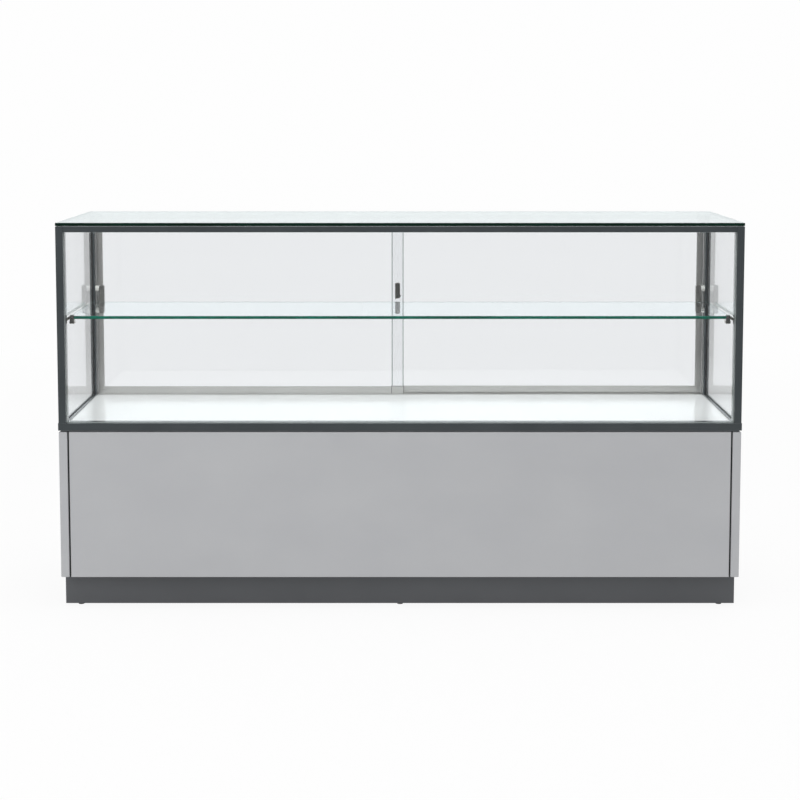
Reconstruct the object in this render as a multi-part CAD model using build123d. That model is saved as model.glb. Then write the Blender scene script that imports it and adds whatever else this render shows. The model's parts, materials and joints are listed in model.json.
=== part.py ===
from build123d import *
import os

# Glass display counter: a laminate base, an aluminium frame glazed on three sides and on top,
# a glass shelf, and two sliding glass doors at the back. Millimetres, +Z up, X to the right.
# While it is modelled, Y is the distance back from the front face of the bottom frame, and Z = 0
# is the floor. The finished pieces are moved so that the origin is the middle of the footprint.

# Overall sizes
width = 1800.0
depth = 500.0
height = 1030.0
base_inset = 1.0            # base, posts and top glass stand back from the bottom frame
frame_top_z = 502.0         # top of the bottom frame, where the posts start

# Base
plinth_height = 85.0
plinth_setback = 50.0
plinth_side_inset = 2.0
plinth_rear_inset = 12.0
plinth_board = 18.0
glide_height = 3.0
glide_radius = 8.0
glide_end_margin = 40.0
side_board = 22.0
board = 18.0
front_board = 19.0
front_face_layer = 8.0      # thickness of the front panel that stands proud of its rebate
front_gap = 4.5             # shadow gap each side of the front panel
gap_strip = 1.5
board_chamfer = 1.5
gap_board = 4.0             # dark board under the frame
gap_board_inset = 5.5

# Storage doors and tracks in the back of the base
storage_door = 16.0
storage_overlap = 40.0
storage_clearance = 0.5
storage_wall = 1.5
storage_track_base = 2.0
storage_lower_wall = 8.0
storage_upper_wall = 14.0
storage_lift = 5.0          # room over the doors to lift them in
storage_end_gap = 1.0
cup_width = 22.0
cup_height = 96.0
cup_depth = 10.0
cup_margin = 30.0

# Aluminium frame
rail_height = 20.0
front_rail_depth = 40.0
side_rail_width = 20.0
post_width = 20.0
post_depth = 40.0
top_rail_height = 15.0
top_rail_width = 20.0
profile_radius = 1.0
profile_wall = 2.0
end_cap = 2.0

# Glazing
pane = 6.0
top_pane = 8.0
pane_from_front = 12.0      # middle of the front glass behind the post's face
pane_from_side = 9.5        # middle of the side glass inside the post's face
slot_width = 10.0
slot_depth = 9.0
gasket_floor = 1.5
gasket_lip = 0.8
tape = 1.5
tape_width = 12.0
tape_inset = 3.0
glass_arris = 0.8

# Deck
deck_board = 16.0
deck_gap = 0.5

# Shelf and its brackets
shelf_thickness = 8.0
shelf_top_z = 778.2
shelf_front = 65.0
shelf_rear_gap = 59.0       # rear edge in front of the rear posts
shelf_end_gap = 2.0
shelf_corner = 4.0
jaw_width = 13.0
jaw_top_width = 10.5
jaw_drop = 12.5
jaw_lip = 2.6
jaw_reach = 14.0
jaw_over = 9.0
jaw_gap = 0.2
arm_thickness = 3.0
arm_from_post = 18.0
hanger_width = 14.5
hanger_body = 13.0
hanger_top_z = 819.0
hanger_below = 21.0
hanger_foot = 20.0          # reach under the shelf
hanger_foot_height = 5.0
hanger_past_post = 4.0      # front of the hanger behind the front of the rear posts
hanger_corner = 5.0
hanger_groove = 4.0
stud_length = 10.0
stud_radius = 8.7
stud_from_end = 10.0        # middle of the stud from either end of the hanger
stud_past_post = 9.2        # middle of the stud beyond the front of the rear posts

# Rear doors and tracks
track_wall = 1.5
track_middle = 4.5          # between the two channels
door_clearance = 0.75       # each side of a pane in its channel
track_web = 2.0
track_drop = 20.0
track_base = 2.0
rail_rib_width = 2.0
rail_rib_height = 2.5
rear_rail_height = 14.0
door_side_gap = 1.0
door_overlap = 34.0
overlap_centre_x = -7.0
door_wall = 1.5             # aluminium outside the pane in the stile and shoe
door_slot_fit = 0.1
stile_width = 18.0
stile_grip = 10.0
stile_top_gap = 1.0
groove_width = 5.0          # milled finger groove in the stile
groove_depth = 5.5
groove_length = 220.0
groove_wall = 1.5
groove_z = 740.0
shoe_height = 20.0
shoe_lift = 0.3             # shoe above the running rib
shoe_channel = 5.0
shoe_channel_height = 9.6
shoe_web = 1.6
pane_seat = 0.3
pane_top_engage = 11.5
block_length = 34.0
block_joint = 1.2

# Rollers
roller_radius = 4.2
flange_radius = 5.0
roller_width = 4.2
roller_groove = 2.6
roller_gap = 0.05
axle_radius = 1.25
axle_clearance = 0.05
axle_length = 8.4
roller_from_stile = 45.0

# Lock at the overlap of the doors
lock_width = 14.0
lock_height = 44.0
lock_corner = 4.0
lock_chamfer = 1.2
lock_body = 11.0
lock_z = 800.5
lock_axis_below = 15.0
plug_radius = 3.5
plug_clearance = 0.05
plug_proud = 1.25
tube_radius = 5.0
tube_hole_clearance = 0.3
cam_thickness = 2.5
cam_clearance = 0.5
cam_arm = 27.0
cam_nose = 10.0
cam_width = 5.0
cam_screw_radius = 2.4
cam_screw_head = 0.6
keyway_width = 1.2
keyway_height = 4.8
keyway_depth = 2.5
keeper_plate = 1.2
keeper_lug_clearance = 0.25 # lug short of the other door's shoe and stile
keeper_lug_height = 4.5
keeper_lug_below = 5.0
keeper_slot_width = 5.0
keeper_hole_radius = 3.0

# Places that follow from the sizes
half_width = width / 2
outer_x = half_width - base_inset
post_inner_x = outer_x - post_width
rail_inner_x = half_width - side_rail_width
front_y = base_inset
rear_y = depth - base_inset
base_z0 = glide_height + plinth_height
frame_z0 = frame_top_z - rail_height
base_z1 = frame_z0 - gap_board
post_top_z = height - top_pane - tape
top_rail_z0 = post_top_z - top_rail_height
rear_post_y = rear_y - post_depth
front_pane_y = front_y + pane_from_front
side_pane_x = outer_x - pane_from_side
side_inner_x = outer_x - side_board
track_depth = 2 * (track_wall + pane) + 4 * door_clearance + track_middle
track_y = depth - track_depth
inner_pane_y = track_y + track_wall + door_clearance + pane / 2
outer_pane_y = inner_pane_y + pane + 2 * door_clearance + track_middle
door_half = pane / 2 + door_wall
rear_rail_z = frame_z0 + rear_rail_height
rib_z = rear_rail_z + track_base + rail_rib_height
shoe_z = rib_z + shoe_lift
door_end_x = post_inner_x - door_side_gap
left_free_x = overlap_centre_x + door_overlap / 2
right_free_x = overlap_centre_x - door_overlap / 2
track_top_z0 = top_rail_z0 - track_drop
pane_foot_z = shoe_z + shoe_channel_height + shoe_web + pane_seat
pane_head_z = track_top_z0 + pane_top_engage
stile_head_z = track_top_z0 - stile_top_gap
axle_z = rib_z + roller_gap + roller_radius
lock_axis_z = lock_z - lock_axis_below
cam_y1 = outer_pane_y - pane / 2 - cam_clearance
cam_y0 = cam_y1 - cam_thickness
lock_rear_y = outer_pane_y + pane / 2 + lock_body + plug_proud
overall_depth = lock_rear_y
shelf_z0 = shelf_top_z - shelf_thickness
shelf_rear = rear_post_y - shelf_rear_gap
stud_y = rear_post_y + stud_past_post
shelf_half = post_inner_x - shelf_end_gap

os.makedirs("parts", exist_ok=True)
to_origin = Pos(0, -overall_depth / 2, 0)
LOW = (Align.MIN, Align.MIN, Align.MIN)


def save(name, *solids):
    """Writes one node, moved so that the origin is the middle of the footprint."""
    moved = [to_origin * solid for solid in solids]
    shape = moved[0] if len(moved) == 1 else Compound(children=moved)
    export_step(shape, f"parts/{name}.step")


def block(x0, x1, y0, y1, z0, z1):
    return Pos(x0, y0, z0) * Box(x1 - x0, y1 - y0, z1 - z0, align=LOW)


def mirrored(solid):
    """The right-hand twin of a left-hand piece."""
    return mirror(solid, Plane.YZ)


def along_x(section, x0, x1):
    """A Y-Z section drawn as sketch (y, z) and swept from x0 to x1."""
    return Pos(x0, 0, 0) * extrude(Plane.YZ * section, x1 - x0)


def along_y(section, y0, y1):
    """An X-Z section drawn as sketch (x, z) and swept from y0 to y1."""
    plane = Plane(origin=(0, y0, 0), x_dir=(1, 0, 0), z_dir=(0, -1, 0))
    return extrude(plane * section, -(y1 - y0))


def prism(points, z0, z1):
    """A vertical prism over a plan outline."""
    return extrude(Pos(0, 0, z0) * make_face(Polyline(*points, close=True)), z1 - z0)


def rect(a0, a1, b0, b1, radius=0.0):
    """A rectangle from its edges, in any sketch plane."""
    size = (a1 - a0, b1 - b0)
    shape = RectangleRounded(*size, radius) if radius else Rectangle(*size)
    return Pos((a0 + a1) / 2, (b0 + b1) / 2) * shape


def chamfered_board(x0, x1, y0, y1, z0, z1, amount=board_chamfer):
    solid = block(x0, x1, y0, y1, z0, z1)
    return chamfer(solid.edges(), amount)


# Plinth on its glides

def plinth():
    plinth_x = outer_x - plinth_side_inset
    y0 = front_y + plinth_setback
    y1 = rear_y - plinth_rear_inset
    save("plinth_front_board", block(-plinth_x, plinth_x, y0, y0 + plinth_board, glide_height, base_z0))
    save("plinth_rear_board", block(-plinth_x, plinth_x, y1 - plinth_board, y1, glide_height, base_z0))
    end = block(-plinth_x, -plinth_x + plinth_board, y0 + plinth_board, y1 - plinth_board,
                glide_height, base_z0)
    save("plinth_end_boards", end, mirrored(end))
    glides = []
    for x in (-plinth_x + glide_end_margin, 0, plinth_x - glide_end_margin):
        for y in (y0 + plinth_board / 2, y1 - plinth_board / 2):
            glides.append(Pos(x, y, glide_height / 2) * Cylinder(glide_radius, glide_height))
    save("plinth_glides", *glides)


# Base cabinet of laminated board

def base_cabinet():
    side = chamfered_board(-outer_x, -side_inner_x, front_y, rear_y, base_z0, base_z1)
    save("side_panel_left", side)
    save("side_panel_right", mirrored(side))
    panel_back = front_y + front_board
    rebate_y = front_y + front_face_layer
    face = block(-side_inner_x + front_gap, side_inner_x - front_gap, front_y, rebate_y, base_z0, base_z1)
    face = chamfer(face.faces().sort_by(Axis.Y)[0].edges(), board_chamfer)
    save("front_panel", face + block(-side_inner_x, side_inner_x, rebate_y, panel_back, base_z0, base_z1))
    strip = block(-side_inner_x, -side_inner_x + front_gap, rebate_y - gap_strip, rebate_y, base_z0, base_z1)
    save("front_gap_strips", strip, mirrored(strip))
    save("bottom_panel", block(-side_inner_x, side_inner_x, panel_back, rear_y, base_z0, base_z0 + board))
    save("top_panel", block(-side_inner_x, side_inner_x, panel_back, rear_y, base_z1 - board, base_z1))
    divider_back = storage_track_y() - storage_clearance
    divider = block(-board / 2, board / 2, panel_back, divider_back, base_z0 + board, base_z1 - board)
    save("divider_panel", divider)
    gap_x = half_width - gap_board_inset
    gap_layer = block(-gap_x, gap_x, gap_board_inset, depth - gap_board_inset, base_z1, frame_z0)
    save("shadow_gap_board", gap_layer)


def storage_track_y():
    channel = storage_door + 2 * storage_clearance
    return rear_y - 3 * storage_wall - 2 * channel


# Two board doors that slide in channelled tracks behind the base

def storage_doors():
    y0 = storage_track_y()
    channel = storage_door + 2 * storage_clearance
    z0 = base_z0 + board
    z1 = base_z1 - board
    lower = rect(y0, rear_y, z0, z0 + storage_track_base + storage_lower_wall)
    upper = rect(y0, rear_y, z1 - storage_track_base - storage_upper_wall, z1)
    for row in range(2):
        a = y0 + storage_wall + row * (channel + storage_wall)
        lower -= rect(a, a + channel, z0 + storage_track_base, z1)
        upper -= rect(a, a + channel, z0, z1 - storage_track_base)
    save("storage_track_bottom", along_x(lower, -side_inner_x, side_inner_x))
    save("storage_track_top", along_x(upper, -side_inner_x, side_inner_x))
    foot = z0 + storage_track_base + storage_clearance
    head = z1 - storage_track_base - storage_lift
    outer_end = side_inner_x - storage_end_gap
    names = ("storage_door_left", "storage_door_right")
    for row, (name, side) in enumerate(zip(names, (-1, 1))):
        a = y0 + storage_wall + storage_clearance + row * (channel + storage_wall)
        x0, x1 = sorted((side * outer_end, -side * storage_overlap / 2))
        door = chamfered_board(x0, x1, a, a + storage_door, foot, head)
        cup_x = side * (outer_end - cup_margin - cup_width / 2)
        outline = Pos(cup_x, (foot + head) / 2) * SlotOverall(cup_height, cup_width, rotation=90)
        door -= along_y(outline, a + storage_door - cup_depth, a + storage_door + 1)
        save(name, door)


# Bottom frame, mitred at the front corners and capped at the back

def bottom_frame():
    z0, z1 = frame_z0, frame_top_z
    slot_z = z1 - slot_depth
    half_slot = slot_width / 2
    wall = profile_wall
    front = rect(0, front_rail_depth, z0, z1, profile_radius)
    front -= rect(front_pane_y - half_slot, front_pane_y + half_slot, slot_z, z1)
    front -= rect(wall, front_pane_y + half_slot, z0 + wall, slot_z - wall)
    front -= rect(front_pane_y + half_slot + wall, front_rail_depth - wall, z0 + wall, z1 - wall)
    plan = [(-half_width, 0), (half_width, 0),
            (rail_inner_x, front_rail_depth), (-rail_inner_x, front_rail_depth)]
    save("bottom_rail_front", along_x(front, -half_width, half_width) & prism(plan, z0, z1))

    pane_in = half_width - side_pane_x
    section = rect(0, side_rail_width, z0, z1, profile_radius)
    section -= rect(pane_in - half_slot, pane_in + half_slot, slot_z, z1)
    section -= rect(wall, side_rail_width - wall, z0 + wall, slot_z - wall)
    bar = along_y(Pos(-half_width, 0) * section, 0, depth - end_cap)
    plan = [(-half_width, 0), (-rail_inner_x, front_rail_depth), (-rail_inner_x, depth), (-half_width, depth)]
    left = bar & prism(plan, z0, z1)
    save("bottom_rail_left", left)
    save("bottom_rail_right", mirrored(left))
    cap = along_y(rect(-half_width, -rail_inner_x, z0, z1, profile_radius), depth - end_cap, depth)
    save("rail_end_caps", cap, mirrored(cap))

    rear = rect(track_y, depth, z0, rear_rail_z)
    rear -= rect(track_y + wall, depth - wall, z0 + wall, rear_rail_z - wall)
    save("bottom_rail_rear", along_x(rear, -rail_inner_x, rail_inner_x))

    deck_x = rail_inner_x - deck_gap
    save("display_deck", block(-deck_x, deck_x, front_rail_depth + deck_gap, track_y - deck_gap,
                               frame_z0, frame_z0 + deck_board))


# Corner posts, extruded with their glazing slots and chambers

def post_section(with_front_slot):
    """Plan section of a left post, from its outer front corner."""
    half_slot = slot_width / 2
    wall = profile_wall
    section = rect(0, post_width, 0, post_depth, profile_radius)
    section -= rect(pane_from_side - half_slot, pane_from_side + half_slot,
                    post_depth - slot_depth, post_depth)
    inner_end = post_depth - slot_depth - wall
    if with_front_slot:
        slot_floor = post_width - slot_depth
        section -= rect(slot_floor, post_width, pane_from_front - half_slot, pane_from_front + half_slot)
        section -= rect(wall, slot_floor - wall, wall, inner_end)
        section -= rect(slot_floor, post_width - wall, pane_from_front + half_slot + wall, inner_end)
    else:
        section -= rect(wall, post_width - wall, wall, inner_end)
    return section


def posts():
    for place, with_front_slot in (("front", True), ("rear", False)):
        section = post_section(with_front_slot)
        solid = extrude(Pos(0, 0, frame_top_z) * section, post_top_z - frame_top_z)
        if place == "rear":
            solid = Pos(0, rear_y, 0) * mirror(solid, Plane.XZ)
        else:
            solid = Pos(0, front_y, 0) * solid
        left = Pos(-outer_x, 0, 0) * solid
        save(f"post_{place}_left", left)
        save(f"post_{place}_right", mirrored(left))


# Top rails between the posts, slotted downwards for the panes

def top_frame():
    z0, z1 = top_rail_z0, post_top_z
    half_slot = slot_width / 2
    wall = profile_wall
    slot_z = z0 + slot_depth - 1.0

    def section(a0, pane_at):
        shape = rect(a0, a0 + top_rail_width, z0, z1, profile_radius)
        if pane_at is None:
            return shape - rect(a0 + wall, a0 + top_rail_width - wall, z0 + wall, z1 - wall)
        shape -= rect(pane_at - half_slot, pane_at + half_slot, z0, slot_z)
        return shape - rect(a0 + wall, a0 + top_rail_width - wall, slot_z + wall, z1 - wall)

    save("top_rail_front", along_x(section(front_y, front_pane_y), -post_inner_x, post_inner_x))
    save("top_rail_rear", along_x(section(rear_y - top_rail_width, None), -post_inner_x, post_inner_x))
    left = along_y(section(-outer_x, -side_pane_x), front_y + post_depth, rear_post_y)
    save("top_rail_left", left)
    save("top_rail_right", mirrored(left))
    return slot_z


# Panes, their gaskets, the top glass and its bonding tape

def glazing(top_slot_z):
    z0 = frame_top_z - slot_depth + gasket_floor
    z1 = top_slot_z - gasket_floor
    half = pane / 2
    front_x = post_inner_x + slot_depth - gasket_floor
    side_y0 = front_y + post_depth - slot_depth + gasket_floor
    side_y1 = rear_post_y + slot_depth - gasket_floor
    front = block(-front_x, front_x, front_pane_y - half, front_pane_y + half, z0, z1)
    left = block(-side_pane_x - half, -side_pane_x + half, side_y0, side_y1, z0, z1)
    save("front_glass", front)
    save("left_glass", left)
    save("right_glass", mirrored(left))

    half_slot = slot_width / 2
    g = gasket_floor
    lip = gasket_lip
    sight_z0, sight_z1 = frame_top_z + lip, top_rail_z0 - lip
    ring = block(-front_x - g, front_x + g, front_pane_y - half_slot, front_pane_y + half_slot,
                 z0 - g, z1 + g)
    ring -= block(-post_inner_x + lip, post_inner_x - lip, 0, depth, sight_z0, sight_z1)
    side_ring = block(-side_pane_x - half_slot, -side_pane_x + half_slot,
                      side_y0 - g, side_y1 + g, z0 - g, z1 + g)
    side_ring -= block(-half_width, 0, front_y + post_depth + lip, rear_post_y - lip, sight_z0, sight_z1)
    side_ring -= left
    save("glazing_gaskets", ring - front, side_ring, mirrored(side_ring))

    z = post_top_z
    x = outer_x - tape_inset
    y0, y1 = front_y + tape_inset, rear_y - tape_inset
    band = block(-x, x, y0, y1, z, z + tape)
    band -= block(-x + tape_width, x - tape_width, y0 + tape_width, y1 - tape_width, z, z + tape)
    save("top_glass_tape", band)
    top = chamfered_board(-outer_x, outer_x, front_y, rear_y, height - top_pane, height, glass_arris)
    save("top_glass", top)


# Glass shelf, its front jaws on arms and its rear hangers on studs

def shelf():
    outline = rect(-shelf_half, shelf_half, shelf_front, shelf_rear, shelf_corner)
    plate = extrude(Pos(0, 0, shelf_z0) * outline, shelf_thickness)
    rims = plate.edges().filter_by(GeomType.LINE).filter_by(Axis.X)
    save("glass_shelf", chamfer(rims, glass_arris))

    jaw_z0 = shelf_z0 - jaw_drop
    jaw_z1 = shelf_top_z + jaw_gap + jaw_lip
    jaw_y0 = shelf_front - jaw_gap - jaw_lip
    jaw_y1 = shelf_front + jaw_reach
    profile = rect(jaw_y0, jaw_y1, jaw_z0, jaw_z1, 1.2)
    profile -= rect(shelf_front - jaw_gap, jaw_y1 + 1, shelf_z0, shelf_top_z + jaw_gap)
    profile -= rect(shelf_front + jaw_over, jaw_y1 + 1, shelf_z0, jaw_z1 + 1)
    x0 = -shelf_half
    x1 = x0 + jaw_width
    middle = (x0 + x1) / 2
    flare = make_face(Polyline((x0, jaw_z0), (x1, jaw_z0), (x1, jaw_z0 + jaw_drop / 2),
                               (middle + jaw_top_width / 2, shelf_z0), (middle + jaw_top_width / 2, jaw_z1),
                               (middle - jaw_top_width / 2, jaw_z1), (middle - jaw_top_width / 2, shelf_z0),
                               (x0, jaw_z0 + jaw_drop / 2), close=True))
    flare = fillet(flare.vertices().sort_by(Axis.Y)[:2], 2.4)
    jaw = along_x(profile, x0, x1) & along_y(flare, jaw_y0, jaw_y1)
    screw = Pos(middle, (shelf_front + jaw_y1) / 2, jaw_z0) * Cylinder(2.6, 2.0)
    arm = block(-post_inner_x, -post_inner_x + arm_thickness, front_y + post_depth - arm_from_post,
                shelf_front - jaw_gap, shelf_z0, shelf_top_z)
    arm += block(-post_inner_x, middle, jaw_y0, shelf_front - jaw_gap, shelf_z0, shelf_top_z)
    bracket = jaw - screw + arm
    save("shelf_bracket_left", bracket)
    save("shelf_bracket_right", mirrored(bracket))

    hx0 = -post_inner_x + stud_length
    hx1 = hx0 + hanger_width
    hy0 = rear_post_y + hanger_past_post
    z0 = shelf_z0 - hanger_below
    face = rect(hx0, hx1, z0, hanger_top_z, hanger_corner)
    body = along_y(face, hy0, hy0 + hanger_body)
    flute = rect((hx0 + hx1 - hanger_groove) / 2, (hx0 + hx1 + hanger_groove) / 2,
                 shelf_top_z + 6, hanger_top_z - 5, hanger_groove / 2 - 0.1)
    body -= along_y(flute, hy0 - 1, hy0 + 1.2)
    foot = block(hx0, hx1, shelf_rear - hanger_foot, hy0 + hanger_body / 2,
                 shelf_z0 - hanger_foot_height, shelf_z0)
    foot = fillet(foot.edges().filter_by(Axis.Z).sort_by(Axis.Y)[:2], 3)
    hanger = body + foot
    save("shelf_hanger_left", hanger)
    save("shelf_hanger_right", mirrored(hanger))

    studs = []
    for z in (hanger_top_z - stud_from_end, z0 + stud_from_end):
        stud = Rot(0, 90, 0) * Cylinder(stud_radius, stud_length)
        stud = Pos(-post_inner_x + stud_length / 2, stud_y, z) * stud
        studs += [stud, mirrored(stud)]
    save("hanger_studs", *studs)


# Fixed tracks for the glass doors

def door_tracks():
    x = post_inner_x
    base = rect(track_y, depth, rear_rail_z, rear_rail_z + track_base)
    for y in (inner_pane_y, outer_pane_y):
        base += rect(y - rail_rib_width / 2, y + rail_rib_width / 2, rear_rail_z, rib_z)
    save("door_track_bottom", along_x(base, -x, x))
    head = rect(track_y, depth, track_top_z0, top_rail_z0)
    channel = pane / 2 + door_clearance
    for y in (inner_pane_y, outer_pane_y):
        head -= rect(y - channel, y + channel, track_top_z0, top_rail_z0 - track_web)
    save("door_track_top", along_x(head, -x, x))


# Sliding glass doors: pane, grip stile and roller shoe, mitred at the outer corner

def shoe_section(pane_y):
    fit = pane / 2 + door_slot_fit
    section = rect(pane_y - door_half, pane_y + door_half, shoe_z, shoe_z + shoe_height)
    channel_top = shoe_z + shoe_channel_height
    section -= rect(pane_y - shoe_channel / 2, pane_y + shoe_channel / 2, shoe_z, channel_top)
    web_top = channel_top + shoe_web
    return section - rect(pane_y - fit, pane_y + fit, web_top, shoe_z + shoe_height)


def axle_hole(x, y):
    return Pos(x, y, axle_z) * Rot(90, 0, 0) * Cylinder(axle_radius + axle_clearance, 4 * door_half)


def glass_door(side, prefix, pane_y, free_x):
    """side is -1 for the left door and 1 for the right one."""
    end_x = side * door_end_x
    glass_end = end_x - side * (stile_width - stile_grip)
    x0, x1 = sorted((glass_end, free_x))
    sheet = block(x0, x1, pane_y - pane / 2, pane_y + pane / 2, pane_foot_z, pane_head_z)
    if side > 0:
        hole = Cylinder(tube_radius + tube_hole_clearance, 2 * pane)
        sheet -= Pos(overlap_centre_x, pane_y, lock_axis_z) * Rot(90, 0, 0) * hole
    save(f"{prefix}_door_glass", sheet)

    stile_in = end_x - side * stile_width
    corner = [(end_x, shoe_z), (stile_in, shoe_z + shoe_height)]
    fit = pane / 2 + door_slot_fit
    a0, a1 = sorted((end_x, stile_in))
    plan = rect(a0, a1, pane_y - door_half, pane_y + door_half, 0.6)
    b0, b1 = sorted((glass_end, stile_in))
    plan -= rect(b0 - 0.1, b1 + 0.1, pane_y - fit, pane_y + fit)
    stile = extrude(Pos(0, 0, shoe_z) * plan, stile_head_z - shoe_z)
    groove_x = end_x - side * (groove_wall + groove_width / 2)
    groove = Pos(groove_x, groove_z) * SlotOverall(groove_length, groove_width, rotation=90)
    stile -= along_y(groove, pane_y + door_half - groove_depth, pane_y + door_half + 1)
    outline = make_face(Polyline(corner[0], corner[1], (stile_in, stile_head_z), (end_x, stile_head_z),
                                 close=True))
    save(f"{prefix}_door_stile", stile & along_y(outline, track_y, depth))

    block_x = free_x + side * block_length
    shoe_end = block_x + side * block_joint
    c0, c1 = sorted((end_x, shoe_end))
    bar = along_x(shoe_section(pane_y), c0, c1)
    outline = make_face(Polyline(corner[0], corner[1], (shoe_end, shoe_z + shoe_height), (shoe_end, shoe_z),
                                 close=True))
    near_x = end_x - side * roller_from_stile
    free_roller_x = free_x + side * block_length / 2
    shoe = (bar & along_y(outline, track_y, depth)) - axle_hole(near_x, pane_y)
    save(f"{prefix}_door_shoe", shoe)
    d0, d1 = sorted((free_x, block_x))
    save(f"{prefix}_door_end_block", along_x(shoe_section(pane_y), d0, d1) - axle_hole(free_roller_x, pane_y))

    for name, x in (("outer", near_x), ("inner", free_roller_x)):
        save(f"{prefix}_door_roller_{name}", roller(x, pane_y))


def roller(x, y):
    """A grooved wheel turned in one piece with its axle."""
    w, g, a = roller_width / 2, roller_groove / 2, axle_length / 2
    profile = make_face(Polyline((0, -a), (axle_radius, -a), (axle_radius, -w), (flange_radius, -w),
                                 (roller_radius, -g), (roller_radius, g), (flange_radius, w),
                                 (axle_radius, w), (axle_radius, a), (0, a), close=True))
    return Pos(x, y, axle_z) * revolve(profile, Axis.Y)


# Quarter-turn lock: case on the right door, cam between the panes, keeper on the left door

def lock():
    x = overlap_centre_x
    pane_rear = outer_pane_y + pane / 2
    pane_front = outer_pane_y - pane / 2
    oblong = Pos(x, lock_z) * RectangleRounded(lock_width, lock_height, lock_corner)
    case = along_y(oblong, pane_rear, pane_rear + lock_body)
    case = chamfer(case.faces().sort_by(Axis.Y)[-1].edges(), lock_chamfer)
    axis = Pos(x, 0, lock_axis_z)
    tube = axis * along_y(Circle(tube_radius), pane_front, pane_rear)
    bore = axis * along_y(Circle(plug_radius + plug_clearance), pane_front - 1, lock_rear_y + 1)
    save("lock_case", case + tube - bore)

    plug = axis * along_y(Circle(plug_radius), cam_y1, lock_rear_y)
    keyway = Rectangle(keyway_width, keyway_height)
    plug -= axis * along_y(keyway, lock_rear_y - keyway_depth, lock_rear_y + 1)
    half = cam_width / 2
    arm = rect(-half, half, -half, cam_arm, half - 0.1) + rect(-half, cam_nose, -half, half, half - 0.1)
    cam = axis * along_y(arm + Circle(plug_radius), cam_y0, cam_y1)
    screw = axis * along_y(Circle(cam_screw_radius), cam_y0 - cam_screw_head, cam_y0)
    save("lock_plug_and_cam", plug + cam + screw)

    inner_rear = inner_pane_y + pane / 2
    plate = oblong - Pos(x, lock_axis_z) * Circle(keeper_hole_radius)
    slot_z0 = lock_axis_z + keeper_hole_radius + 2
    plate -= rect(x - keeper_slot_width / 2, x + keeper_slot_width / 2, slot_z0,
                  lock_z + lock_height / 2 - 4, keeper_slot_width / 2 - 0.1)
    keeper = along_y(plate, inner_rear, inner_rear + keeper_plate)
    lug_x1 = x - half - 1
    lug_y1 = outer_pane_y - door_half - keeper_lug_clearance
    lug_z1 = lock_axis_z - keeper_lug_below
    lug = block(x - lock_width / 2 + 0.5, lug_x1, inner_rear, lug_y1,
                lug_z1 - keeper_lug_height, lug_z1)
    save("lock_keeper", keeper + lug)


plinth()
base_cabinet()
storage_doors()
bottom_frame()
posts()
glazing(top_frame())
shelf()
door_tracks()
glass_door(-1, "left", inner_pane_y, left_free_x)
glass_door(1, "right", outer_pane_y, right_free_x)
lock()
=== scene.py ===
import json
import math

import bmesh
import bpy
from mathutils import Matrix, Vector


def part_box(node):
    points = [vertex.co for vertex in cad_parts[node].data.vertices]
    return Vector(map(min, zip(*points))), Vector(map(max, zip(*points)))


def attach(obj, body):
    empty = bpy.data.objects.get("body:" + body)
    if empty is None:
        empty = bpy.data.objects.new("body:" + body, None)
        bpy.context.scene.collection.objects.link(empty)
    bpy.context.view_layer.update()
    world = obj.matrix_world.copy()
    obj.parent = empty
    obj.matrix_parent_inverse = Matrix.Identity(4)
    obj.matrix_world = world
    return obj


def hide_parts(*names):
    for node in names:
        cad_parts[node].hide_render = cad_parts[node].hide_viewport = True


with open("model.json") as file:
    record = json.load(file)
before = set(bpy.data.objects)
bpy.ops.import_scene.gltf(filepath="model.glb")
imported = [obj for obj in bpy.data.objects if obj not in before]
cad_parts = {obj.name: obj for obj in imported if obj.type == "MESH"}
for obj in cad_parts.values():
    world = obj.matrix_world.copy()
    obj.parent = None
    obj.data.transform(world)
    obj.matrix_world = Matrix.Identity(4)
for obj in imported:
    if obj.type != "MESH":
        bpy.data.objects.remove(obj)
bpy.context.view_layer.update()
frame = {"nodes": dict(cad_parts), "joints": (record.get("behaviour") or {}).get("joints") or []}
scene = bpy.context.scene
MM = 0.001
SIDES = ((-1, "left"), (1, "right"))


# Colour and node helpers

def linear(code, alpha=1.0):
    """A Blender colour from an sRGB hex code."""
    parts = [int(code[i:i + 2], 16) / 255 for i in (1, 3, 5)]
    parts = [c / 12.92 if c <= 0.04045 else ((c + 0.055) / 1.055) ** 2.4 for c in parts]
    return (*parts, alpha)


def add(tree, kind, links=None, **settings):
    """Adds a node, sets its settings, and fills its inputs with values or with other nodes' outputs."""
    node = tree.nodes.new(kind)
    for key, value in settings.items():
        setattr(node, key, value)
    for key, value in (links or {}).items():
        socket = node.inputs[key]
        if isinstance(value, bpy.types.NodeSocket):
            tree.links.new(value, socket)
        else:
            socket.default_value = value
    return node


def new_material(name, **values):
    """A material with one Principled shader, its sockets set by their names with _ for a space."""
    material = bpy.data.materials.new(name)
    material.use_nodes = True
    shader = material.node_tree.nodes["Principled BSDF"]
    for key, value in values.items():
        shader.inputs[key.replace("_", " ")].default_value = value
    material.diffuse_color = shader.inputs["Base Color"].default_value
    return material, material.node_tree, shader


def stretched(tree, scale):
    """Object coordinates, scaled per axis."""
    place = add(tree, "ShaderNodeTexCoord").outputs["Object"]
    return add(tree, "ShaderNodeMapping", {"Vector": place, "Scale": scale}).outputs["Vector"]


def noise(tree, vector, scale, detail=3.0, roughness=0.5):
    links = {"Vector": vector, "Scale": scale, "Detail": detail, "Roughness": roughness}
    return add(tree, "ShaderNodeTexNoise", links).outputs["Fac"]


def ranged(tree, value, low, high, start=0.3, end=0.7):
    links = {"Value": value, "From Min": start, "From Max": end, "To Min": low, "To Max": high}
    return add(tree, "ShaderNodeMapRange", links).outputs["Result"]


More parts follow.
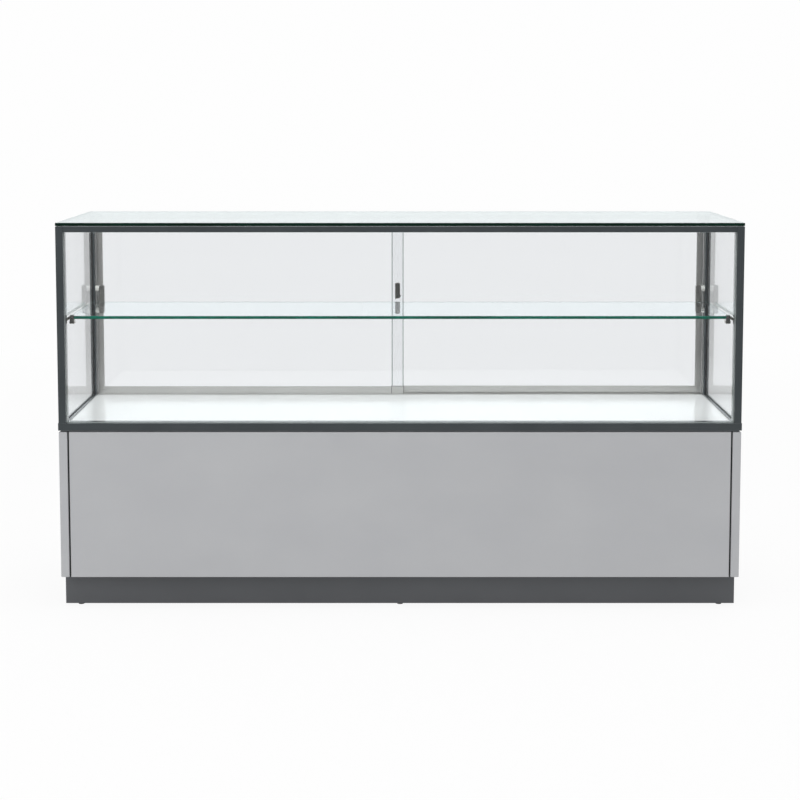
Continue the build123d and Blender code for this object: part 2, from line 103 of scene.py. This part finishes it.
def tinted(tree, factor, dark, light):
    mix = add(tree, "ShaderNodeMix", data_type="RGBA")
    tree.links.new(factor, mix.inputs[0])
    mix.inputs[6].default_value = dark
    mix.inputs[7].default_value = light
    return mix.outputs[2]


def bumped(tree, shader, height, distance, strength=1.0):
    links = {"Height": height, "Distance": distance, "Strength": strength}
    bump = add(tree, "ShaderNodeBump", links)
    tree.links.new(bump.outputs["Normal"], shader.inputs["Normal"])


# Materials. Noise scales are in features per metre.

def anodised(name, dark, light, rough_low, rough_high, along, metallic=1.0):
    """Extruded aluminium: fine die lines along the bar, under a satin anodised film. A dyed film scatters
    light, so it is less metallic."""
    material, tree, shader = new_material(name, Metallic=metallic, Base_Color=light, Roughness=rough_high,
                                          Coat_Weight=0.6, Coat_Roughness=0.08, Coat_IOR=1.6)
    across, with_bar = 2600.0, 6.0
    lines = noise(tree, stretched(tree, [with_bar if i == along else across for i in range(3)]), 1.0, 2.0)
    cloud = noise(tree, stretched(tree, [9.0, 9.0, 9.0]), 1.0, 2.0)
    tree.links.new(tinted(tree, ranged(tree, cloud, 0.0, 1.0), dark, light), shader.inputs["Base Color"])
    tree.links.new(ranged(tree, lines, rough_low, rough_high), shader.inputs["Roughness"])
    bumped(tree, shader, lines, 0.006 * MM, 0.5)
    return material


# Dark anodised bars: nearly black-grey, with a soft line of light along each edge
DARK_BAR = [anodised(f"Aluminium_DarkAnodised_Extruded_{axis}", linear("#444A4D"), linear("#4A5053"),
                     rough_low=0.18, rough_high=0.28, along=i, metallic=0.4) for i, axis in enumerate("XYZ")]
# Natural anodised bars: pale and satin, brighter than everything else in the frame
PALE_BAR = [anodised(f"Aluminium_NaturalAnodised_Extruded_{axis}", linear("#DAD8D5"), linear("#E0DEDB"),
                     rough_low=0.26, rough_high=0.36, along=i) for i, axis in enumerate("XYZ")]


def laminate(name, dark, light, roughness, cloud_scale, fleck_scale, fleck_height):
    """High-pressure laminate: a very faint cloud, and a fine pressed grain that breaks up the sheen."""
    material, tree, shader = new_material(name, Base_Color=light, Roughness=roughness)
    cloud = noise(tree, stretched(tree, [cloud_scale, cloud_scale, cloud_scale * 1.6]), 1.0, 3.0)
    fleck = noise(tree, stretched(tree, [fleck_scale] * 3), 1.0, 1.0)
    both = add(tree, "ShaderNodeMath", {0: ranged(tree, cloud, 0.0, 0.7), 1: ranged(tree, fleck, 0.0, 0.3)},
               operation="ADD").outputs[0]
    tree.links.new(tinted(tree, both, dark, light), shader.inputs["Base Color"])
    tree.links.new(ranged(tree, fleck, roughness - 0.05, roughness + 0.05), shader.inputs["Roughness"])
    bumped(tree, shader, fleck, fleck_height, 0.4)
    return material


# Silver-grey panels: flat, with a mottling that only just shows
SILVER = laminate("Laminate_SilverGrey_Pressed", linear("#A9AAAD"), linear("#AFB0B2"), roughness=0.42,
                  cloud_scale=4.0, fleck_scale=900.0, fleck_height=0.03 * MM)
# Plinth and shadow gap: darker and a little duller
DARK_BOARD = laminate("Laminate_DarkGrey_Pressed", linear("#4C4E51"), linear("#525457"), roughness=0.45,
                      cloud_scale=5.0, fleck_scale=900.0, fleck_height=0.03 * MM)
# Deck: white, smooth enough to mirror the posts softly
WHITE_DECK = laminate("Laminate_White_SemiGloss", linear("#F6F6F5"), linear("#F9F9F8"), roughness=0.16,
                      cloud_scale=3.0, fleck_scale=300.0, fleck_height=0.008 * MM)


def glass(name, colour, through=0.0):
    """Clear float glass: real refraction, and light that reaches what stands behind it. A share of it lets
    light straight through, which keeps a pane seen at a flat angle from turning into a mirror."""
    material, tree, shader = new_material(name, Base_Color=colour, Roughness=0.0, IOR=1.5,
                                          Transmission_Weight=1.0)
    output = tree.nodes["Material Output"]
    shadow = add(tree, "ShaderNodeLightPath").outputs["Is Shadow Ray"]
    clear = add(tree, "ShaderNodeBsdfTransparent", {"Color": linear("#FEFFFF")}).outputs[0]
    share = add(tree, "ShaderNodeMath", {0: shadow, 1: through}, operation="MAXIMUM").outputs[0]
    mix = add(tree, "ShaderNodeMixShader", {0: share, 1: shader.outputs[0], 2: clear})
    tree.links.new(mix.outputs[0], output.inputs["Surface"])
    return material


# Panes: almost clear, a breath of cool grey where two lie behind each other
PANE = glass("Glass_Float_Polished", linear("#FBFCFD"))
# Side panes, seen nearly edge on: the same glass, with slightly softer mirror images
SIDE_PANE = glass("Glass_Float_SoftCoated", linear("#FBFCFD"), through=0.12)
# Thicker sheets of the shelf and the top: the same glass, a little greener
THICK_PANE = glass("Glass_FloatThick_Polished", linear("#F8FBFB"))
# The top, seen at a flat angle: a little of the frame under it shows through its sheen
TOP_PANE = glass("Glass_FloatThick_SoftCoated", linear("#F6FCFB"), through=0.12)


def glass_edge(name, dark, light, roughness=0.06):
    """A ground and polished glass edge: deep green, and uneven along its length as light pipes through."""
    material, tree, shader = new_material(name, Base_Color=light, Roughness=roughness, Specular_IOR_Level=0.3)
    bands = noise(tree, stretched(tree, [7.0, 7.0, 60.0]), 1.0, 2.0)
    tree.links.new(tinted(tree, ranged(tree, bands, 0.0, 1.0), dark, light), shader.inputs["Base Color"])
    grind = noise(tree, stretched(tree, [40.0, 40.0, 3000.0]), 1.0, 1.0)
    bumped(tree, shader, grind, 0.004 * MM, 0.3)
    return material


# Front edge of the top: painted nearly black, a painted shade for the dark frame it lies on
TOP_EDGE = glass_edge("Glass_Edge_PolishedOverDark", linear("#00170D"), linear("#03241A"))
# Edges of the shelf: the strongest green in the picture
SHELF_EDGE = glass_edge("Glass_Edge_PolishedGreen", linear("#005645"), linear("#00705B"))
# Edges that are seen through the sheet, paler and greyer
PALE_EDGE = glass_edge("Glass_Edge_PolishedPale", linear("#7F9A95"), linear("#93ABA6"), roughness=0.15)
# Upright edges of the door panes, thin grey lines
DOOR_EDGE = glass_edge("Glass_Edge_GroundGrey", linear("#6B7C7A"), linear("#80908D"), roughness=0.35)


def plain(name, dark, light, rough_low, rough_high, metallic=0.0, scale=300.0, height=0.01, coat=0.0):
    """A moulded, plated or painted small part: colour and sheen vary faintly, over a fine surface texture."""
    material, tree, shader = new_material(name, Base_Color=light, Roughness=rough_high, Metallic=metallic,
                                          Coat_Weight=coat)
    grain = noise(tree, stretched(tree, [scale] * 3), 1.0, 3.0)
    tree.links.new(tinted(tree, ranged(tree, grain, 0.0, 1.0), dark, light), shader.inputs["Base Color"])
    tree.links.new(ranged(tree, grain, rough_low, rough_high), shader.inputs["Roughness"])
    bumped(tree, shader, grain, height * MM, 0.5)
    return material


# Bright fittings of the shelf, mirror-like with soft clouding
NICKEL = plain("Steel_NickelPlated_Satin", linear("#A3A19D"), linear("#B5B3AF"), rough_low=0.16,
               rough_high=0.26, metallic=1.0, scale=120.0)
# Studs of the rear hangers: nickel plating like the shelf brackets with a soft sheen, painted nearly white
# and less metallic as a painted highlight that keeps them bright in the shade of the stiles
BRIGHTENED_STUD_NICKEL = plain("Steel_NickelPlated_Blasted", linear("#D6D5D1"), linear("#E4E3DF"), rough_low=0.22,
                   rough_high=0.32, metallic=0.3, scale=160.0)
# Upright plates by the rear posts: duller grey metal
GREY_METAL = plain("Zinc_DieCast_Tumbled", linear("#7C7B78"), linear("#908F8C"), rough_low=0.28,
                   rough_high=0.40, metallic=0.7, scale=700.0, height=0.02)
# Lock case and keeper: dark satin
DARK_METAL = plain("Zinc_DieCast_DarkLacquer", linear("#A09B95"), linear("#AFAAA4"), rough_low=0.30,
                   rough_high=0.40, metallic=0.4, scale=500.0, height=0.01)
# Screws, and the collar of the lock: bright
LOCK_STEEL = plain("Steel_NickelPlated_Turned", linear("#B4B3AF"), linear("#C8C7C3"), rough_low=0.15,
                   rough_high=0.25, metallic=1.0)
# Lock barrel and its cam: duller than the screws
CAM_STEEL = plain("Steel_ZincPlated_Stamped", linear("#8C8A86"), linear("#9C9A96"), rough_low=0.25,
                  rough_high=0.35, metallic=1.0)
# Glazing seals: black silicone. Round the front glass a pale grey-green band is painted on, a painted
# reflection that stands in for the thin line of light seen there
SEAL_AND_PAINTED_REFLECTION = plain("Silicone_Glazing_Extruded", linear("#17181A"), linear("#17181A"), rough_low=0.5,
             rough_high=0.65, scale=900.0, height=0.03)
# Painted reflection: the seal is painted pale from its front up to 1.5 mm behind the front glass, and is
# black beyond
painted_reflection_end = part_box("front_glass")[1][1] + 1.5 * MM
tree = SEAL_AND_PAINTED_REFLECTION.node_tree
place = add(tree, "ShaderNodeTexCoord").outputs["Object"]
object_y = add(tree, "ShaderNodeSeparateXYZ", {0: place}).outputs["Y"]
painted_reflection_mask = ranged(tree, object_y, 1.0, 0.0, painted_reflection_end, painted_reflection_end + 1 * MM)
tree.links.new(tinted(tree, painted_reflection_mask, linear("#17181A"), linear("#A3ABA9")),
               tree.nodes["Principled BSDF"].inputs["Base Color"])
# Matt black plastic of the glides, door spacers and buffers. The strips in the gaps of the base are painted
# shade: black in the grooves beside the front panel, where shade falls
BLACK_AND_PAINTED_SHADE = plain("Polypropylene_Black_Moulded", linear("#0E0F10"), linear("#171819"), rough_low=0.5,
              rough_high=0.62, scale=500.0, height=0.02)
# Storage tracks: grey extruded plastic, a little waxy
GREY_PLASTIC = plain("PVC_Grey_Extruded", linear("#8B8D8E"), linear("#959798"), rough_low=0.38,
                     rough_high=0.48, scale=80.0)
# Rollers: creamy nylon
NYLON = plain("Nylon_Natural_Turned", linear("#D2CFC6"), linear("#DEDBD2"), rough_low=0.35, rough_high=0.45,
              scale=200.0)
# Bonding tape under the top glass: pale grey, partly the whitish colour of acrylic tape and partly a painted
# highlight for the line of light along the rails' rounded top edges
TAPE_AND_PAINTED_HIGHLIGHT = plain("Foam_Acrylic_Tape", linear("#A2A4A8"), linear("#B0B2B6"), rough_low=0.55, rough_high=0.7,
             scale=700.0, height=0.03)


def dress(material, *names):
    """Gives CAD nodes a material."""
    for name in names:
        mesh_object = frame["nodes"][name]
        if not mesh_object.material_slots:
            mesh_object.data.materials.append(material)
        for slot in mesh_object.material_slots:
            slot.material = material


dress(DARK_BAR[0], "bottom_rail_front", "bottom_rail_rear", "top_rail_front", "top_rail_rear",
      "door_track_top")
dress(DARK_BAR[1], "bottom_rail_left", "bottom_rail_right", "top_rail_left", "top_rail_right",
      "rail_end_caps")
dress(DARK_BAR[2], "post_front_left", "post_front_right", "post_rear_left", "post_rear_right")
dress(PALE_BAR[0], "left_door_shoe", "right_door_shoe", "left_door_end_block", "right_door_end_block",
      "door_track_bottom")
dress(PALE_BAR[2], "left_door_stile", "right_door_stile")
dress(SILVER, "side_panel_left", "side_panel_right", "front_panel", "bottom_panel", "top_panel",
      "divider_panel", "storage_door_left", "storage_door_right")
dress(DARK_BOARD, "plinth_front_board", "plinth_rear_board", "plinth_end_boards", "shadow_gap_board")
dress(WHITE_DECK, "display_deck")
dress(SEAL_AND_PAINTED_REFLECTION, "glazing_gaskets")
# The front gap strips are painted shade, and the glides are black plastic
dress(BLACK_AND_PAINTED_SHADE, "front_gap_strips", "plinth_glides")
dress(TAPE_AND_PAINTED_HIGHLIGHT, "top_glass_tape")
dress(GREY_PLASTIC, "storage_track_bottom", "storage_track_top")
dress(NYLON, "left_door_roller_outer", "left_door_roller_inner", "right_door_roller_outer",
      "right_door_roller_inner")
dress(NICKEL, "shelf_bracket_left", "shelf_bracket_right")
dress(BRIGHTENED_STUD_NICKEL, "hanger_studs")
dress(GREY_METAL, "shelf_hanger_left", "shelf_hanger_right")
dress(DARK_METAL, "lock_case", "lock_keeper")
dress(CAM_STEEL, "lock_plug_and_cam")


# Mesh pieces

def piece(name, shape, body, slot, *materials):
    """Turns a bmesh into an object that rides on a body."""
    mesh = bpy.data.meshes.new(name)
    shape.to_mesh(mesh)
    shape.free()
    for material in materials:
        mesh.materials.append(material)
    made = bpy.data.objects.new(name, mesh)
    scene.collection.objects.link(made)
    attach(made, body)
    return made


def cuboid(low, high):
    """A bmesh that fills the box between two corners."""
    shape = bmesh.new()
    bmesh.ops.create_cube(shape, size=1.0)
    for vert in shape.verts:
        vert.co = Vector([low[i] + (vert.co[i] + 0.5) * (high[i] - low[i]) for i in range(3)])
    return shape


def turned(profile, segments=32, ring=False):
    """A bmesh turned about +Z from (radius, height) points. A ring joins its last point to its first."""
    shape = bmesh.new()
    rings = []
    for radius, height in profile:
        if radius == 0:
            rings.append([shape.verts.new((0, 0, height))])
            continue
        turn = [2 * math.pi * i / segments for i in range(segments)]
        rings.append([shape.verts.new((radius * math.cos(a), radius * math.sin(a), height)) for a in turn])
    for low, high in zip(rings, rings[1:] + rings[:1] if ring else rings[1:]):
        for i in range(segments):
            j = (i + 1) % segments
            corners = [low[i % len(low)], low[j % len(low)], high[j % len(high)], high[i % len(high)]]
            shape.faces.new(list(dict.fromkeys(corners)))
    for face in shape.faces:
        face.smooth = True
    bmesh.ops.recalc_face_normals(shape, faces=shape.faces)
    return shape


def pane(node, body, thin, face_material, edge_materials, corner=0.0, hole=None, arris=0.7 * MM):
    """A sheet of glass over a CAD pane. thin is the axis through the sheet, and edge_materials gives the
    material of the edges that look along each axis and sense, such as "-Y"."""
    shape = cuboid(*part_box(node))
    if corner:
        upright = [e for e in shape.edges if abs((e.verts[0].co - e.verts[1].co)[thin]) > 1e-5]
        bmesh.ops.bevel(shape, geom=upright, offset=corner, segments=5, affect="EDGES", profile=0.5)
    rims = [e for e in shape.edges if len(e.link_faces) == 2
            and max(abs(f.normal[thin]) for f in e.link_faces) > 0.9
            and min(abs(f.normal[thin]) for f in e.link_faces) < 0.1]
    bmesh.ops.bevel(shape, geom=rims, offset=arris, segments=1, affect="EDGES")
    names = sorted(set(edge_materials.values()), key=lambda m: m.name)
    shape.normal_update()
    for face in shape.faces:
        if abs(face.normal[thin]) > 0.9:
            continue
        flat = [0.0 if i == thin else face.normal[i] for i in range(3)]
        axis = max(range(3), key=lambda i: abs(flat[i]))
        sense = ("-" if flat[axis] < 0 else "+") + "XYZ"[axis]
        face.material_index = 1 + names.index(edge_materials.get(sense, edge_materials["rest"]))
    made = piece(f"{node}_sheet", shape, body, "clear_glass", face_material, *names)
    if hole:
        drill(made, *hole)
    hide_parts(node)
    return made


def drill(target, centre, radius, depth):
    """Cuts a round hole along Y through an object."""
    tool_shape = bmesh.new()
    bmesh.ops.create_cone(tool_shape, cap_ends=True, segments=40, radius1=radius, radius2=radius, depth=depth,
                          matrix=Matrix.Translation(centre) @ Matrix.Rotation(math.pi / 2, 4, "X"))
    mesh = bpy.data.meshes.new("drill_tool")
    tool_shape.to_mesh(mesh)
    tool_shape.free()
    tool = bpy.data.objects.new("drill_tool", mesh)
    scene.collection.objects.link(tool)
    cut = target.modifiers.new("hole", "BOOLEAN")
    cut.operation = "DIFFERENCE"
    cut.solver = "EXACT"
    cut.object = tool
    graph = bpy.context.evaluated_depsgraph_get()
    result = bpy.data.meshes.new_from_object(target.evaluated_get(graph))
    target.modifiers.clear()
    target.data = result
    bpy.data.objects.remove(tool)


lock_joint = next(j for j in frame["joints"] if j["name"] == "lock_turn")
lock_axis = Vector(lock_joint["pos_m"])
door_low, door_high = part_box("right_door_glass")
barrel_hole = Vector((lock_axis.x, (door_low[1] + door_high[1]) / 2, lock_axis.z))

pane("top_glass", "counter", 2, TOP_PANE, {"-Y": TOP_EDGE, "rest": PALE_EDGE})
pane("front_glass", "counter", 1, PANE, {"rest": PALE_EDGE})
pane("left_glass", "counter", 0, SIDE_PANE, {"rest": PALE_EDGE})
pane("right_glass", "counter", 0, SIDE_PANE, {"rest": PALE_EDGE})
pane("glass_shelf", "counter", 2, THICK_PANE, {"-Y": SHELF_EDGE, "+Y": PALE_EDGE, "rest": SHELF_EDGE},
     corner=4.0 * MM)
pane("left_door_glass", "left_glass_door", 1, PANE, {"rest": DOOR_EDGE}, arris=2.2 * MM)
pane("right_door_glass", "right_glass_door", 1, PANE, {"rest": DOOR_EDGE},
     hole=(barrel_hole, 5.3 * MM, 20 * MM), arris=2.2 * MM)


# Screws, repeated along a rail by one node group

def screw_head():
    """A button head with a round socket, seated at height 0."""
    mm = [(3.4, 0.0), (3.4, 0.25), (3.05, 0.75), (2.3, 1.1),
          (1.45, 1.25), (1.35, 1.2), (1.3, 0.45), (0.0, 0.4)]
    return turned([(0.0, 0.0)] + [(r * MM, h * MM) for r, h in mm], 28)


def row_group(name):
    """A node group that stands copies of a mesh along a line."""
    group = bpy.data.node_groups.new(name, "GeometryNodeTree")
    group.interface.new_socket("Head", in_out="INPUT", socket_type="NodeSocketObject")
    group.interface.new_socket("Count", in_out="INPUT", socket_type="NodeSocketInt")
    group.interface.new_socket("Start", in_out="INPUT", socket_type="NodeSocketVector")
    group.interface.new_socket("Step", in_out="INPUT", socket_type="NodeSocketVector")
    group.interface.new_socket("Metal", in_out="INPUT", socket_type="NodeSocketMaterial")
    group.interface.new_socket("Geometry", in_out="OUTPUT", socket_type="NodeSocketGeometry")
    given = add(group, "NodeGroupInput").outputs
    line = add(group, "GeometryNodeMeshLine", {"Count": given["Count"], "Start Location": given["Start"],
                                               "Offset": given["Step"]}, mode="OFFSET")
    head = add(group, "GeometryNodeObjectInfo", {"Object": given["Head"]})
    copies = add(group, "GeometryNodeInstanceOnPoints", {"Points": line.outputs["Mesh"],
                                                         "Instance": head.outputs["Geometry"]})
    solid = add(group, "GeometryNodeRealizeInstances", {"Geometry": copies.outputs[0]})
    metal = add(group, "GeometryNodeSetMaterial", {"Geometry": solid.outputs[0], "Material": given["Metal"]})
    add(group, "NodeGroupOutput", {"Geometry": metal.outputs[0]})
    return group


ROW = row_group("row_of_heads")


def screw_row(name, body, count, start, step, turn):
    """A row of screw heads, each turned to look along the axis that turn brings +Z to."""
    head_shape = screw_head()
    bmesh.ops.transform(head_shape, matrix=turn, verts=head_shape.verts)
    head_mesh = bpy.data.meshes.new("head")
    head_shape.to_mesh(head_mesh)
    head_shape.free()
    head = bpy.data.objects.new("head", head_mesh)
    scene.collection.objects.link(head)
    made = bpy.data.objects.new(name, bpy.data.meshes.new(name))
    scene.collection.objects.link(made)
    rows = made.modifiers.new("row", "NODES")
    rows.node_group = ROW
    values = {"Head": head, "Count": count, "Start": start, "Step": step, "Metal": LOCK_STEEL}
    for item in ROW.interface.items_tree:
        if item.in_out == "INPUT":
            rows[item.identifier] = values[item.name]
    graph = bpy.context.evaluated_depsgraph_get()
    made.data = bpy.data.meshes.new_from_object(made.evaluated_get(graph))
    made.modifiers.clear()
    bpy.data.objects.remove(head)
    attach(made, body)
    return made


to_rear = Matrix.Rotation(-math.pi / 2, 4, "X")
rear_low, rear_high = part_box("bottom_rail_rear")
rear_screws = 7
rear_run = 1680 * MM
screw_row("rear_rail_screws", "counter", rear_screws,
          (-rear_run / 2, rear_high[1], (rear_low[2] + rear_high[2]) / 2),
          (rear_run / (rear_screws - 1), 0, 0), to_rear)
cap_low, cap_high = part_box("rail_end_caps")
cap_screw_inset = 10 * MM
for side, name in SIDES:
    screw_row(f"end_cap_screws_{name}", "counter", 1,
              (side * (cap_high[0] - cap_screw_inset), cap_high[1], (cap_low[2] + cap_high[2]) / 2),
              (0, 0, 0.01), to_rear)


def moved(shape, turn, place):
    bmesh.ops.transform(shape, matrix=Matrix.Translation(place) @ turn, verts=shape.verts)
    return shape


# Collar round the barrel on the staff side of the lock
case_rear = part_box("lock_case")[1][1]
collar = turned([(r * MM, h * MM) for r, h in
                 ((3.7, 0.0), (6.2, 0.0), (6.2, 0.35), (5.7, 0.8), (4.3, 0.8), (3.7, 0.5))], 40, ring=True)
moved(collar, to_rear, Vector((lock_axis.x, case_rear, lock_axis.z)))
piece("lock_collar", collar, "right_glass_door", "lock_steel", LOCK_STEEL)

# Black plastic between each shoe and its end block, and a buffer on the end block's free end
for side, prefix in SIDES:
    low, high = (Vector(c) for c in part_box(f"{prefix}_door_end_block"))
    shoe_low, shoe_high = (Vector(c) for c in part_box(f"{prefix}_door_shoe"))
    joint = (shoe_high.x, low.x) if side < 0 else (high.x, shoe_low.x)
    wide = joint[1] - joint[0]
    buffer = (high.x, high.x + wide) if side < 0 else (low.x - wide, low.x)
    for name, (x0, x1) in (("spacer", joint), ("buffer", buffer)):
        shape = cuboid((x0, low.y, low.z), (x1, high.y, high.z))
        bmesh.ops.bevel(shape, geom=shape.edges, offset=0.25 * MM, segments=2, affect="EDGES")
        piece(f"{prefix}_door_{name}", shape, f"{prefix}_glass_door", "black_plastic", BLACK_AND_PAINTED_SHADE)

# Socket screws that clamp the shelf in its front brackets, in the middle of each jaw
shelf_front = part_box("glass_shelf")[0][1]
jaw_width = 13 * MM
screw_rise = 0.2 * MM
for side, name in SIDES:
    low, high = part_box(f"shelf_bracket_{name}")
    jaw_end = high[0] if side < 0 else low[0]
    shape = turned([(0.0, 0.45 * MM), (1.15 * MM, 0.45 * MM), (1.2 * MM, 0.02 * MM), (2.3 * MM, 0.0),
                    (2.45 * MM, 0.15 * MM), (2.45 * MM, 0.75 * MM), (0.0, 0.75 * MM)], 28)
    place = Vector((jaw_end + side * jaw_width / 2, (shelf_front + high[1]) / 2, low[2] + screw_rise))
    piece(f"bracket_screw_{name}", moved(shape, Matrix.Identity(4), place), "counter", "lock_steel",
          LOCK_STEEL)


# Floor, light and camera

def looked_at(tree, path):
    """1 for what is seen directly or through glass, 0 for mirror images, also those made inside a pane."""
    through = add(tree, "ShaderNodeMath", {0: path["Is Camera Ray"], 1: path["Is Transmission Ray"]},
                  operation="MAXIMUM").outputs[0]
    unmirrored = add(tree, "ShaderNodeMath", {0: path["Glossy Depth"], 1: 0.5},
                     operation="LESS_THAN").outputs[0]
    return add(tree, "ShaderNodeMath", {0: through, 1: unmirrored}, operation="MULTIPLY").outputs[0]


# How bright the room behind the viewer is in mirror images. A low level keeps the front glass free of haze
FRONT_LEVEL = 0.2
# What the eye meets past the counter: just short of white
BACKDROP = 0.99

floor_mesh = bpy.data.meshes.new("studio_floor")
reach = 40.0
floor_mesh.from_pydata([(-reach, -reach, 0), (reach, -reach, 0), (reach, reach, 0), (-reach, reach, 0)], [],
                       [(0, 1, 2, 3)])
floor = bpy.data.objects.new("studio_floor", floor_mesh)
scene.collection.objects.link(floor)
floor_material, tree, shader = new_material("Studio_Floor_Matt", Base_Color=linear("#E8E8E8"), Roughness=0.8)
# White to the eye, with a faint shadow that is gone 5 m away. Mirror images see the floor end about 2 m in
# front, as a paper sweep does
place = add(tree, "ShaderNodeTexCoord").outputs["Object"]
away = add(tree, "ShaderNodeVectorMath", {0: place}, operation="LENGTH").outputs["Value"]
along = add(tree, "ShaderNodeSeparateXYZ", {0: place}).outputs["Y"]
path = add(tree, "ShaderNodeLightPath").outputs
share = add(tree, "ShaderNodeMath",
            {0: looked_at(tree, path), 1: ranged(tree, away, low=0.92, high=1.0, start=2.0, end=5.0)},
            operation="MULTIPLY")
white = add(tree, "ShaderNodeEmission", {"Color": linear("#FFFFFF"), "Strength": BACKDROP})
gloss = add(tree, "ShaderNodeEmission", {"Color": linear("#FFFFFF"),
                                         "Strength": ranged(tree, along, low=FRONT_LEVEL, high=0.97,
                                                            start=-2.4, end=-1.2)})
mirrored = add(tree, "ShaderNodeMixShader",
               {0: path["Is Glossy Ray"], 1: shader.outputs[0], 2: gloss.outputs[0]})
mixed = add(tree, "ShaderNodeMixShader", {0: share.outputs[0], 1: mirrored.outputs[0], 2: white.outputs[0]})
tree.links.new(mixed.outputs[0], tree.nodes["Material Output"].inputs["Surface"])
floor_mesh.materials.append(floor_material)

world = scene.world or bpy.data.worlds.new("studio")
scene.world = world
world.use_nodes = True
tree = world.node_tree
tree.nodes.clear()
# Matt surfaces get even light. Gloss sees a room that is white ahead and overhead, and dim behind the viewer
sky = add(tree, "ShaderNodeTexCoord").outputs["Generated"]
parts = add(tree, "ShaderNodeSeparateXYZ", {0: sky})
overhead = ranged(tree, parts.outputs["Z"], low=0.0, high=0.5, start=0.25, end=0.85)
ahead = ranged(tree, parts.outputs["Y"], low=FRONT_LEVEL, high=1.18, start=-0.6, end=0.6)
level = add(tree, "ShaderNodeMath", {0: overhead, 1: ahead}, operation="MAXIMUM")
path = add(tree, "ShaderNodeLightPath").outputs
even = add(tree, "ShaderNodeBackground", {"Color": linear("#FFFFFF"), "Strength": 0.92})
room = add(tree, "ShaderNodeBackground", {"Color": linear("#F6FBFC"), "Strength": level.outputs[0]})
clear = add(tree, "ShaderNodeBackground", {"Color": linear("#FFFFFF"), "Strength": BACKDROP})
lit = add(tree, "ShaderNodeMixShader", {0: path["Is Glossy Ray"], 1: even.outputs[0], 2: room.outputs[0]})
both = add(tree, "ShaderNodeMixShader", {0: looked_at(tree, path), 1: lit.outputs[0], 2: clear.outputs[0]})
add(tree, "ShaderNodeOutputWorld", {"Surface": both.outputs[0]})


def softbox(name, place, aim, width, height_m, power):
    light = bpy.data.lights.new(name, "AREA")
    light.shape = "RECTANGLE"
    light.size = width
    light.size_y = height_m
    light.energy = power
    lamp = bpy.data.objects.new(name, light)
    lamp.location = place
    lamp.rotation_euler = (Vector(aim) - Vector(place)).to_track_quat("-Z", "Y").to_euler()
    scene.collection.objects.link(lamp)


softbox("softbox_top", (0.3, -0.6, 3.4), (0, 0, 0.5), width=3.2, height_m=1.8, power=43)
softbox("softbox_front_left", (-2.6, -3.4, 2.4), (0, 0, 0.6), width=1.8, height_m=1.8, power=26)

# The photograph was taken level, with a shift of 0.386. This camera looks 5.1 degrees down with less shift,
# which leans the posts by a few pixels and keeps the whole counter inside its other views
picture_px = 800
focal_px = 1698.3
camera_data = bpy.data.cameras.new("photo_camera")
camera_data.sensor_width = 36.0
camera_data.lens = focal_px / picture_px * camera_data.sensor_width
camera_data.shift_y = -0.175
camera = bpy.data.objects.new("photo_camera", camera_data)
camera.location = (0.0, -4.668, 1.327)
camera.rotation_euler = (math.radians(90 - 5.1), 0, 0)
scene.collection.objects.link(camera)
scene.camera = camera
scene.view_settings.view_transform = "Standard"
